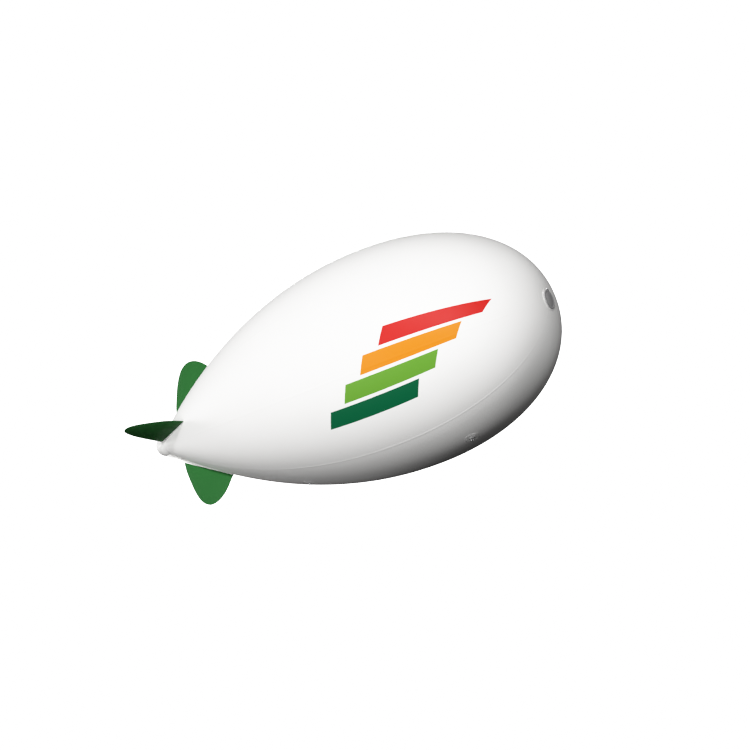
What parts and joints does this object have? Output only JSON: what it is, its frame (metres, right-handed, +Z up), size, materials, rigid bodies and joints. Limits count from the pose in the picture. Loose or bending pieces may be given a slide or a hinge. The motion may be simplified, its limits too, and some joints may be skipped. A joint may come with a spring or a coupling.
{
  "type": "advertising blimp balloon",
  "caption": "White teardrop helium balloon with green tail fins, a hinged grey nose cover over its filling port, and belly rings for a tether.",
  "frame": {"origin": "centre of buoyancy, on the envelope's axis 2.32 m ahead of the tail tip", "axes": "+X towards the nose, +Z up through the top fin, -Y towards the right side"},
  "size_m": [4.0108, 1.96, 1.96],
  "materials": {
    "envelope_film": "smooth white PVC film, soft gloss",
    "tail_cap_film": "smooth white PVC film, soft gloss",
    "fin_film": "green PVC film, satin",
    "web_film": "white doubled PVC film, satin",
    "doubler_film": "white welded PVC doubler, satin",
    "port_plastic": "dark grey moulded plastic",
    "nose_disc_plastic": "mid grey moulded plastic, satin",
    "pin_steel": "plain steel pin",
    "loop_webbing": "white woven polyester webbing",
    "ring_steel": "stamped steel, plated"
  },
  "bodies": {
    "envelope": {"gore_top": "envelope_film", "gore_upper_right": "envelope_film", "gore_right": "envelope_film", "gore_lower_right": "envelope_film", "gore_bottom": "envelope_film", "gore_lower_left": "envelope_film", "gore_left": "envelope_film", "gore_upper_left": "envelope_film", "tail_cap": "tail_cap_film", "fin_top": "fin_film", "fin_right": "fin_film", "fin_bottom": "fin_film", "fin_left": "fin_film", "web_top": "web_film", "web_right": "web_film", "web_bottom": "web_film", "web_left": "web_film", "nose_doubler": "doubler_film", "port_ring": "port_plastic", "hinge_pin": "pin_steel", "tether_patch_fore": "doubler_film", "tether_loop_fore": "loop_webbing", "tether_patch_aft": "doubler_film", "tether_loop_aft": "loop_webbing"},
    "nose_cover": {"nose_disc": "nose_disc_plastic"},
    "fore_ring": {"tether_ring_fore": "ring_steel"},
    "aft_ring": {"tether_ring_aft": "ring_steel"}
  },
  "joints": [
    {"name": "nose_cover_hinge", "type": "hinge", "parent": "envelope", "child": "nose_cover", "pos_m": [1.6863, 0, 0.09], "axis": [0, -1, 0], "range_deg": [0, 150]},
    {"name": "fore_ring_swing", "type": "hinge", "parent": "envelope", "child": "fore_ring", "pos_m": [0.73131, 0, -0.9332], "axis": [0, 1, 0], "range_deg": [-87, 63]},
    {"name": "aft_ring_swing", "type": "hinge", "parent": "envelope", "child": "aft_ring", "pos_m": [-0.87194, 0, -0.81302], "axis": [0, 1, 0], "range_deg": [-57, 93]}
  ]
}
